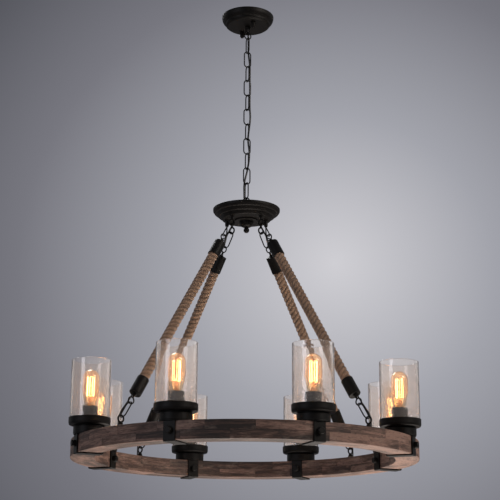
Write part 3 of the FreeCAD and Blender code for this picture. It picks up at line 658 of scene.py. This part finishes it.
# Control points for a leg that lies along X: at its top, and at its foot.
BRANCH_TOP = [(36.7, 34.0, -588.0), (36.7, 34.0, -603.0), (46.0, 28.0, -620.0),
              (64.0, 17.0, -628.5), (84.0, 9.0, -635.7), (92.25, 9.0, -648.55)]
BRANCH_LOW = [(356.75, 9.0, -1063.45), (364.3, 9.0, -1075.25), (375.0, 14.5, -1093.0),
              (387.0, 15.5, -1110.0), (396.0, 9.0, -1126.0), (396.0, 9.0, -1142.0)]


def on_leg(verts, angle):
    """Points given along a leg (x from the hub eye down the leg) put in their place."""
    a = math.radians(LEG_SLOPE)
    tilt = np.array([[math.cos(a), 0, math.sin(a)], [0, 1, 0], [-math.sin(a), 0, math.cos(a)]])
    return turned(np.asarray(verts) @ tilt.T + [EYE_OUT, 0, HUB_EYE_Z], angle)


def on_legs(part):
    """A part of the upper half of a leg and its twin turned end for end, on all legs."""
    verts, faces = part
    twin = verts * [-1, -1, 1] + [LEG_LENGTH, 0, 0]
    return together([(on_leg(v, a), faces) for a in LEG_ANGLES for v in (verts, twin)])


def lying(part):
    """A part made along Z, laid along X."""
    verts, faces = part
    return verts[:, [2, 0, 1]], faces


leg_link = (link_verts[:, [2, 0, 1]] + [LEG_LINK_AT + LINK_LENGTH / 2, 0, 0], link_faces)
links = mesh_piece("leg_link_wires", *on_legs(leg_link), bronze)
verts, faces, _, _ = tube(link_path(FERRULE_EYE_R, 0.0), FERRULE_EYE_WIRE, 16, True)
ferrule_eye = (verts[:, [2, 1, 0]] * [1, 1, -1] + [FERRULE_EYE_AT, 0, 0], faces)
shank = lying(spun(filleted([(0, FERRULE_EYE_AT + FERRULE_EYE_R - 0.6, 0),
                             (2.4, FERRULE_EYE_AT + FERRULE_EYE_R + 0.8, 1.2),
                             (3.0, FERRULE_AT - 4.0, 1.0), (5.0, FERRULE_AT - 3.0, 0.6),
                             (5.0, FERRULE_AT, 0.2), (0, FERRULE_AT, 0)], 4), 32))
sleeve = lying(spun(filleted([(2.0, FERRULE_AT, 0), (FERRULE_R, FERRULE_AT, 1.4),
                              (FERRULE_R, FERRULE_AT + FERRULE_LENGTH, 0.7),
                              (ROPE_R, FERRULE_AT + FERRULE_LENGTH, 0.5),
                              (ROPE_R, FERRULE_AT + 5.0, 0), (2.0, FERRULE_AT + 5.0, 0)], 6),
                    80, True))
ferrule = together([ferrule_eye, shank, sleeve])
ferrules = mesh_piece("leg_ferrules", *on_legs(ferrule), bronze)
for part, node_name in ((links, "leg_links"), (ferrules, "rope_ferrules")):
    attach(part, "fixture")
    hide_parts(node_name)


def mixed(material, factor, first, second):
    """The first colour passing into the second as the factor goes from 0 to 1."""
    return add(material, "Mix", {"Factor": factor, 6: first, 7: second},
               data_type="RGBA").outputs[2]


def jute_rope(name):
    """Laid jute: each strand is a bundle of twisted yarns, with loose pale fibres."""
    material = new_material(name)
    # X is how far round its strand a point is, Y how far along it, and Z how far
    # out from the rope's axis, as a share of the rope's radius.
    where = add(material, "Attribute", attribute_name="strand").outputs["Vector"]
    parts = add(material, "SeparateXYZ", {"Vector": where}).outputs
    # Yarns lie slantwise across a strand, 3 mm apart: 14 round the strand.
    phase = weighed(material, parts["Y"], 70.0, parts["X"])
    yarn = add(material, "Math", {0: weighed(material, phase, 2 * math.pi * 14)},
               operation="SINE")
    place = place_in(material)
    # Loose fibres, drawn as tufts of 1 mm so that they show, and stains of 16 mm.
    fibre = noise(material, place, 900.0, 3.0)
    stain = noise(material, place, 60.0)
    # The yarn's wave also sets the colour: the grooves between yarns get a painted shade, over the
    # tone of the fibres and stains.
    shade = weighed(material, stain, 0.25, weighed(material, yarn, 0.11, fibre))
    colour = blend_of(material, shade, [(0.45, JUTE[0]), (0.62, JUTE[1]), (0.8, JUTE[2])])
    # Painted shade, with some dust, in the lay, where a strand turns in towards the axis.
    crest = ranged(material, parts["Z"], 0.7, 1.0)
    shade_in_lay = mixed(material, crest, linear(JUTE_SHADE), colour)
    relief = weighed(material, fibre, 0.8, yarn)
    return send(material, add(material, "BsdfPrincipled", {
        "Base Color": shade_in_lay, "Roughness": 0.92, "Sheen Weight": 0.12,
        "Sheen Roughness": 0.5, "Normal": bumped(material, relief, 0.7, 0.0007)}))


jute = jute_rope("three-strand jute")
rope_from, rope_to = FERRULE_AT + ROPE_INSET, LEG_LENGTH - FERRULE_AT - ROPE_INSET
along_rope = np.linspace(rope_from, rope_to, 300)
rope_noise = np.random.default_rng(7)
for number, angle in enumerate(LEG_ANGLES, 1):
    strands, tags = [], []
    start_turn = rope_noise.uniform(0, 2 * math.pi)
    for strand in range(STRANDS):
        # Helix: (s, R cos a, R sin a), a growing by one turn per lay.
        a = start_turn + 2 * math.pi * (strand / STRANDS + along_rope / ROPE_LAY)
        line = np.stack([along_rope, STRAND_OUT * np.cos(a), STRAND_OUT * np.sin(a)], -1)
        verts, faces, turn, along = tube(line, STRAND_R, 18)
        strands.append((on_leg(verts, angle), faces))
        out = np.hypot(verts[:, 1], verts[:, 2]) / ROPE_R
        tags.append(np.stack([turn, along * MM, out], -1))
    rope = mesh_piece("rope_%d" % number, *together(strands), jute)
    tag = rope.data.attributes.new("strand", "FLOAT_VECTOR", "POINT")
    tag.data.foreach_set("vector", np.vstack(tags).ravel())
    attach(rope, "fixture")
    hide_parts("ropes")
for number, angle in enumerate(LEG_ANGLES, 1):
    side = 1 if angle in LEG_ANGLES[1::2] else -1
    for end, route in (("top", BRANCH_TOP), ("low", BRANCH_LOW)):
        points = turned(np.array(route) * [1, side, 1], angle)
        line = smooth_route("branch_route", points, 16)
        verts, faces, _, along = tube(line, BRANCH_R, 14)
        branch = mesh_piece("branch_cable_%s_%d" % (end, number), verts, faces, jacket)
        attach(branch, "fixture")
        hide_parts("branch_cables")

# ---------------------------------------------------------------------------
# Wooden ring.  Two layers of eight curved blocks, each sawn from short staves
# glued end to end, the joints staggered, then brushed with a weathered stain.
RING_OUT = 425.0
RING_IN = 367.0
RING_MIDDLE = (RING_OUT + RING_IN) / 2
WOOD_TOP = -1145.0
WOOD_MID = -1166.0
WOOD_LOW = -1187.0
WOOD_EDGE = 1.3               # the sanded edge
JOINT_EDGE = 0.3              # the same where the layers and the blocks meet
BLOCKS = 8
BLOCK_TURN = 360 / BLOCKS
FIRST_JOINT = -86.7           # plan angle of a joint in the upper layer
JOINT_GAP = 0.3
STAVES = 3                    # in a block
# How pale the staves are, from -1 to 1, at plan angles round each layer.
UPPER_TONES = [(-86.7, 0.0), (-67.0, 0.45), (-10.0, 0.5), (48.0, 0.0), (93.0, -0.3), (138.0, 0.2),
               (183.0, 0.5), (225.0, 0.15), (245.0, -0.45), (273.2, -0.95)]
LOWER_TONES = [(-64.2, 0.75), (-10.0, 0.6), (70.0, -0.2), (115.0, -0.35), (160.0, 0.3),
               (205.0, 0.5), (235.0, 0.1), (255.0, -0.5), (280.0, -0.55), (295.7, 0.2)]
WOOD = ("#1d140f", "#45322a", "#785d51", "#9a8578")
RING_EYE_Z = -1125.0


def weathered_wood(name):
    """Stained plank: long fibres, growth bands, dark pores and a pale worn wash."""
    material = new_material(name)
    board = add(material, "Attribute", attribute_name="board").outputs["Vector"]
    tone = add(material, "Attribute", attribute_name="tone").outputs["Fac"]
    # Growth bands 17 to 30 mm broad, drifting over 200 mm of the board.
    bands = noise(material, board, (5.0, 34.0, 60.0), 3.0, Distortion=0.9)
    # Fibres 40 mm long; they are finer than 0.1 mm, and drawn 1.6 mm apart to show.
    fibres = noise(material, board, (26.0, 620.0, 620.0), 4.0, Roughness=0.6)
    # Pores: dark dashes 8 mm long, drawn 1 mm wide to show.
    pores = noise(material, board, (130.0, 900.0, 900.0), 1.0)
    # Worn wash: cloudy patches of 25 to 70 mm.
    wash = noise(material, board, (14.0, 40.0, 40.0), 4.0, Roughness=0.65)
    grain = weighed(material, fibres, 0.62, bands)
    stain = blend_of(material, weighed(material, tone, 0.2, grain),
                     [(0.6, WOOD[0]), (0.8, WOOD[1]), (1.0, WOOD[2])])
    worn = ranged(material, wash, 0.54, 0.78, 0.0, 0.4)
    pit = ranged(material, pores, 0.58, 0.68, 0.0, 0.6)
    final = mixed(material, pit, mixed(material, worn, stain, linear(WOOD[3])),
                  linear(WOOD[0]))
    relief = weighed(material, pit, -0.8, fibres)
    return send(material, add(material, "BsdfPrincipled", {
        "Base Color": final, "Roughness": 0.66, "Specular IOR Level": 0.35,
        "Normal": bumped(material, relief, 0.5, 0.0006)}))


wood = weathered_wood("weathered stained wood")


def curved_block(low, high, edges, start, sweep):
    """A rounded rectangle of section carried round the ring, closed flat at both ends.

    edges are the radii of the lower and the upper edges.  Returns vertices,
    faces and how far round the block each face is, 0 to 1.
    """
    section = filleted([(RING_IN, low, edges[0]), (RING_OUT, low, edges[0]),
                        (RING_OUT, high, edges[1]), (RING_IN, high, edges[1])], 4)
    t = start + sweep * np.linspace(0, 1, 34)
    edge = math.degrees(JOINT_EDGE / RING_MIDDLE)
    t = np.concatenate([t[:1], t[:1] + edge, t[1:-1], t[-1:] - edge, t[-1:]])
    size = np.ones((len(t), 1, 2))
    size[[0, -1]] = 1 - 2 * JOINT_EDGE / np.array([RING_OUT - RING_IN, high - low])
    middle = section.mean(0)
    ring = middle + (section - middle) * size
    a = np.radians(t)[:, None]
    verts = np.stack([ring[..., 0] * np.cos(a), ring[..., 0] * np.sin(a), ring[..., 1]], -1)
    rows, columns = verts.shape[:2]
    faces = [face[::-1] for face in grid_faces(rows, columns)]
    faces.append(list(range(columns)))
    faces.append([(rows - 1) * columns + k for k in range(columns)][::-1])
    halfway = ((t[:-1] + t[1:]) / 2 - start) / sweep
    return (verts.reshape(-1, 3), faces,
            np.concatenate([np.repeat(halfway, columns), [0.0, 1.0]]))


wood_chance = np.random.default_rng(21)
for name, low, high, edges, first, tones in (
        ("wheel_top_blocks", WOOD_MID, WOOD_TOP, (JOINT_EDGE, WOOD_EDGE), FIRST_JOINT,
         UPPER_TONES),
        ("wheel_bottom_blocks", WOOD_LOW, WOOD_MID, (WOOD_EDGE, JOINT_EDGE),
         FIRST_JOINT + BLOCK_TURN / 2, LOWER_TONES)):
    parts, places, stave_tones = [], [], []
    gap = math.degrees(JOINT_GAP / RING_MIDDLE)
    for number in range(BLOCKS):
        start = first + BLOCK_TURN * number + gap / 2
        verts, faces, halfway = curved_block(low, high, edges, start, BLOCK_TURN - gap)
        parts.append((verts, faces))
        # Each stave's board runs straight along its own chord.
        stave = np.minimum((halfway * STAVES).astype(int), STAVES - 1)
        middles = start + BLOCK_TURN * (np.arange(STAVES) + 0.5) / STAVES
        shifts = wood_chance.uniform(-4, 4, (STAVES, 3))
        pale = np.interp(middles, *zip(*tones)) + wood_chance.uniform(-0.3, 0.3, STAVES)
        of_corner = np.repeat(stave, [len(face) for face in faces])
        at = verts[np.concatenate(faces)]
        turn = np.radians(middles)[of_corner]
        along = at[:, 1] * np.cos(turn) - at[:, 0] * np.sin(turn)
        out = at[:, 0] * np.cos(turn) + at[:, 1] * np.sin(turn) - RING_MIDDLE
        places.append(np.stack([along, out, at[:, 2] - low], -1) * MM + shifts[of_corner])
        stave_tones.append(pale[stave])
    layer = mesh_piece(name + "_sanded", *together(parts), wood)
    board = layer.data.attributes.new("board", "FLOAT_VECTOR", "CORNER")
    board.data.foreach_set("vector", np.vstack(places).ravel())
    tone = layer.data.attributes.new("tone", "FLOAT", "FACE")
    tone.data.foreach_set("value", np.concatenate(stave_tones))
    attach(layer, "fixture")
    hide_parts(name)

one_ring_eye = together([
    (eye_verts + [0, 0, RING_EYE_Z], eye_faces),
    spun(filleted([(0, -1133.0, 0), (4.0, -1133.0, 1.4), (7.0, -1142.0, 1.0),
                   (11.0, -1142.0, 0.7), (11.0, WOOD_TOP, 0), (4.0, WOOD_TOP, 0),
                   (4.0, -1175.0, 0.5), (0, -1175.0, 0)], 4), 40)])
ring_eyes = mesh_piece("ring_eye_bolts", *spread(one_ring_eye, RING_MIDDLE, LEG_ANGLES), bronze)
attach(ring_eyes, "fixture")
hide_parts("wheel_eyes")
dress(jacket, "ring_wiring")

# ---------------------------------------------------------------------------
# Straps.  Flat steel, 28 by 3.5 mm, bent round the ring under each light and
# drawn tight by one bolt through wood and strap, with a domed head each side.
LIGHTS = 8
LIGHT_ANGLES = tuple((k + 0.5) * 360 / LIGHTS for k in range(LIGHTS))
STRAP_WIDTH = 28.0
STRAP_OUT = (428.5, 425.0)
STRAP_IN = (363.23, 366.73)
STRAP_LOW = (-1190.5, -1187.0)
BOLT_HEAD_R = 8.0
BOLT_HEAD = 10.0
# Across the strap: shares of its width, and how far in its eased edges are drawn.
STRAP_ROWS = ((-0.5, 0.35), (-0.485, 0.0), (0.485, 0.0), (0.5, 0.35))

outline = filleted([(STRAP_OUT[0], WOOD_TOP, 0.5), (STRAP_OUT[0], STRAP_LOW[0], 2.6),
                    (STRAP_IN[0], STRAP_LOW[0], 2.6), (STRAP_IN[0], WOOD_TOP, 0.5),
                    (STRAP_IN[1], WOOD_TOP, 0.5), (STRAP_IN[1], STRAP_LOW[1], 0.4),
                    (STRAP_OUT[1], STRAP_LOW[1], 0.4), (STRAP_OUT[1], WOOD_TOP, 0.5)], 4)
count = len(outline)
ahead = np.roll(outline, -1, 0) - np.roll(outline, 1, 0)
inward = np.stack([ahead[:, 1], -ahead[:, 0]], -1) / np.linalg.norm(ahead, axis=1)[:, None]
strap_verts = np.vstack([
    np.insert(outline + inward * eased, 1, share * STRAP_WIDTH, axis=1)
    for share, eased in STRAP_ROWS])
strap_faces = grid_faces(len(STRAP_ROWS), count)
strap_faces += [list(range(count))[::-1],
                [(len(STRAP_ROWS) - 1) * count + k for k in range(count)]]
straps = mesh_piece("bent_straps", *spread((strap_verts, strap_faces), 0.0, LIGHT_ANGLES),
                    bronze)
head = spun(filleted([(0, 0, 0), (BOLT_HEAD_R, 0, 0.3), (BOLT_HEAD_R, BOLT_HEAD - 1.4, 1.0),
                      (BOLT_HEAD_R - 1.2, BOLT_HEAD, 1.2), (0, BOLT_HEAD, 0)], 5), 48)
head_verts, head_faces = lying(head)
both_heads = together([
    (head_verts + [STRAP_OUT[0], 0, WOOD_MID], head_faces),
    (head_verts * [-1, -1, 1] + [STRAP_IN[0], 0, WOOD_MID], head_faces)])
heads = mesh_piece("strap_bolt_heads", *spread(both_heads, 0.0, LIGHT_ANGLES), bronze)
for part, node_name in ((straps, "straps"), (heads, "strap_bolts")):
    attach(part, "fixture")
    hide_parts(node_name)

# ---------------------------------------------------------------------------
# Lights.  A turned base and a deep cup carry a phenolic socket, a squirrel-
# cage lamp and a straight cylinder of glass with small seeds in it.
BASE_OUTLINE = [(0, WOOD_TOP, 0), (36.6, WOOD_TOP, 0.4), (36.6, -1143.0, 0.5),
                (37.6, -1142.2, 0.4), (37.6, -1127.0, 0.6), (35.6, -1125.6, 0.4),
                (35.6, -1123.4, 0), (0, -1123.4, 0)]
CUP_OUTLINE = [(5.0, -1123.4, 0), (44.5, -1123.4, 1.5), (48.2, -1121.9, 2.5),
               (49.4, -1117.0, 1.8), (49.4, -1104.5, 0.7), (47.6, -1104.5, 0.5),
               (47.6, -1119.4, 0.8), (5.0, -1119.4, 0)]
SOCKET_OUTLINE = [(13.4, -1077.0, 0.6), (13.4, -1100.5, 0), (5.0, -1100.5, 0),
                  (5.0, -1119.4, 0), (18.75, -1119.4, 0), (18.75, -1096.0, 0.5),
                  (18.2, -1095.4, 0.4), (18.2, -1092.0, 0.4), (18.75, -1091.4, 0.5),
                  (18.75, -1077.0, 1.4)]
THREADS = 6                   # turns of the lamp's screw that are drawn
THREAD_PITCH = 3.0
SHADE_R = 47.2
SHADE_WALL = 2.6
SHADE_LOW = -1119.1
SHADE_TOP = -967.4
BULB_LOW = -1100.2
BULB_TOP = -990.2
BULB_R = 20.0
LAMP_WALL = 0.7
BRASS = "#b08d4f"
FILAMENT = "#ffc98e"
FILAMENT_R = 0.38             # drawn three times as thick as the wire
WIRE_RUNS = 9
CAGE_R = 9.0
CAGE_SWEEP = 0.93             # how much of a turn the wire goes round its stem
CAGE_STEPS = 8                # points along each run of the wire
LAMP_TURN = 40                # degrees that each lamp is turned on from the last
GLOW = "#ff8a3a"              # painted glow, for the filament's light in the glass round it
AMBER = "#f1cf00"             # what the lamp's tinted glass lets through


def clear_glass(material, tint, haze, inputs):
    """Polished glass; haze is the share of light that dust on it scatters.

    A lamp's rays pass straight through, so what the glass shuts in is lit.
    """
    shader = add(material, "BsdfPrincipled", {
        "Base Color": linear(tint), "Roughness": 0.02, "IOR": 1.5,
        "Transmission Weight": 1.0 - haze, **inputs})
    straight = add(material, "BsdfTransparent", {"Color": linear(tint)})
    lamp_ray = add(material, "LightPath").outputs["Is Shadow Ray"]
    return send(material, add(material, "MixShader", {0: lamp_ray, 1: shader, 2: straight}))


def seeded_glass(name, tint, haze):
    """Blown glass: small bubbles, larger low down, in a slightly wavy wall."""
    material = new_material(name)
    place = place_in(material)
    height = add(material, "SeparateXYZ", {"Vector": place}).outputs["Z"]
    # Bubbles, one to a 5 mm cell; they are about 1 mm, and drawn up to 3 mm to show.
    cells = add(material, "TexVoronoi", {"Vector": place, "Scale": 200.0})
    size = ranged(material, height, SHADE_LOW * MM, SHADE_TOP * MM, 0.32, 0.1)
    share = add(material, "Math", {0: cells, 1: size}, operation="DIVIDE")
    bubble = ranged(material, share, 0.0, 1.0, 1.0, 0.0)
    # Pulled glass is never flat: a wave of a few centimetres.
    relief = weighed(material, noise(material, place, 38.0), 1.6, bubble)
    return clear_glass(material, tint, haze, {"Normal": bumped(material, relief, 0.7, 0.0008)})


def lit_glass(name, depth, low, high, strength):
    """Lamp glass with a painted glow between two heights beside the filament.

    depth is how fast the glass absorbs, per metre; its amber is deepest at the
    edge, where the eye looks along the wall.
    """
    material = new_material(name)
    send(material, add(material, "VolumeAbsorption", {"Color": linear(AMBER), "Density": depth}),
         "Volume")
    height = add(material, "SeparateXYZ", {"Vector": place_in(material)}).outputs["Z"]
    glow = ranged(material, height, low * MM, high * MM, 0.0, strength,
                  interpolation_type="SMOOTHSTEP")
    return clear_glass(material, "#ffffff", 0.015,
                       {"Emission Color": linear(GLOW), "Emission Strength": glow})


def glowing(name, colour, strength):
    """Hot tungsten."""
    material = new_material(name)
    return send(material, add(material, "BsdfPrincipled", {
        "Base Color": linear(colour), "Emission Color": linear(colour),
        "Emission Strength": strength}))


for name, node_name, slot, part, material in (
        ("light_base_discs", "light_bases", "bronze_paint",
         spun(filleted(BASE_OUTLINE, 5), 96), bronze),
        ("light_cups", "cups", "bronze_paint", spun(filleted(CUP_OUTLINE, 6), 112, True), bronze),
        ("lamp_sockets", "sockets", "phenolic",
         spun(filleted(SOCKET_OUTLINE, 5), 64, True), phenolic)):
    made = mesh_piece(name, *spread(part, RING_MIDDLE, LIGHT_ANGLES), material)
    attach(made, "fixture")
    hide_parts(node_name)
dress(zinc, "lamp_tubes")

seeded = seeded_glass("seeded clear glass", "#fdf7f1", 0.032)
neck = BULB_LOW + 25.0
# A painted glow on the lamp glass and, stronger, on its stem, for the filament's light in them.
lamp_glass = lit_glass("amber lamp glass", 450.0, neck + 8, neck + 36, 0.06)
stem_glass = lit_glass("lamp stem glass", 60.0, neck - 10, neck + 24, 0.35)
hot = glowing("hot tungsten filament", FILAMENT, 9.0)
brass = bare_metal("lamp base brass", BRASS, 0.3)

shade_outline = filleted([(SHADE_R, SHADE_LOW, 0.9), (SHADE_R, SHADE_TOP, 0.7),
                          (SHADE_R - SHADE_WALL, SHADE_TOP, 0.7),
                          (SHADE_R - SHADE_WALL, SHADE_LOW, 0.9)], 6)


def lamp_skin(inset):
    """Outline of the lamp's glass from neck to crown, a given distance inside the outside."""
    side = filleted([(11.0 - inset, neck, 0), (13.0 - inset, neck + 3, 5.0),
                     (16.2 - inset, neck + 16, 26.0), (BULB_R - inset, neck + 34, 30.0),
                     (BULB_R - inset, BULB_TOP - BULB_R, 0)], 6)
    a = np.linspace(0, math.pi / 2, 15)[1:]
    dome = np.stack([np.cos(a), np.sin(a)], -1) * (BULB_R - inset) + [0, BULB_TOP - BULB_R]
    dome[-1, 0] = 0.0
    return np.vstack([side, dome])


glass_outline = np.vstack([lamp_skin(0.0)[::-1], lamp_skin(LAMP_WALL)])
thread = [(0.0, BULB_LOW, 0), (5.0, BULB_LOW, 0.6), (6.0, BULB_LOW + 2.0, 0.8),
          (12.0, BULB_LOW + 4.0, 0.8)]
for k in range(THREADS):
    z = BULB_LOW + 5.0 + THREAD_PITCH * k
    thread += [(12.9, z, 0.7), (12.1, z + THREAD_PITCH / 2, 0.7)]
thread += [(12.9, neck - 1.5, 0.5), (11.6, neck, 0.5), (0.0, neck, 0)]
lamp_base = spun(filleted(thread, 3), 48)
stem_outline = filleted([(0, neck - 0.5, 0), (8.0, neck - 0.5, 0), (5.0, neck + 8, 6.0),
                         (3.2, neck + 24, 5.0), (4.0, neck + 27, 2.0), (0, neck + 28, 0)], 5)
shade_part = spun(shade_outline, 128, True)
envelope = spun(glass_outline, 72)
stem_part = spun(stem_outline, 32)
for number, angle in enumerate(LIGHT_ANGLES, 1):
    shade = mesh_piece("shade_glass_%d" % number,
                       *spread(shade_part, RING_MIDDLE, (angle,)), seeded)
    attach(shade, "shade_%d" % number)
    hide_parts("shade_%d" % number)
    # The filament goes up and down between two rings of hooks, a step on each time.
    run = np.arange(2 * WIRE_RUNS)
    high = np.where((run + 1) // 2 % 2, BULB_TOP - 18.0, neck + 22.0)
    turn = math.radians(LAMP_TURN * number) + 2 * math.pi * CAGE_SWEEP * (run // 2) / WIRE_RUNS
    cage = np.stack([CAGE_R * np.cos(turn), CAGE_R * np.sin(turn), high], -1)
    steps = np.linspace(0, 1, CAGE_STEPS, endpoint=False)[:, None]
    line = np.vstack([a + (b - a) * steps for a, b in zip(cage, cage[1:])] + [cage[-1:]])
    for name, part, material in (("lamp_envelope_%d", envelope, lamp_glass),
                                 ("lamp_base_%d", lamp_base, brass),
                                 ("lamp_stem_%d", stem_part, stem_glass),
                                 ("lamp_filament_%d", tube(line, FILAMENT_R, 6)[:2], hot)):
        made = mesh_piece(name % number, *spread(part, RING_MIDDLE, (angle,)), material)
        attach(made, "bulb_%d" % number)
        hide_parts("bulb_%d" % number)
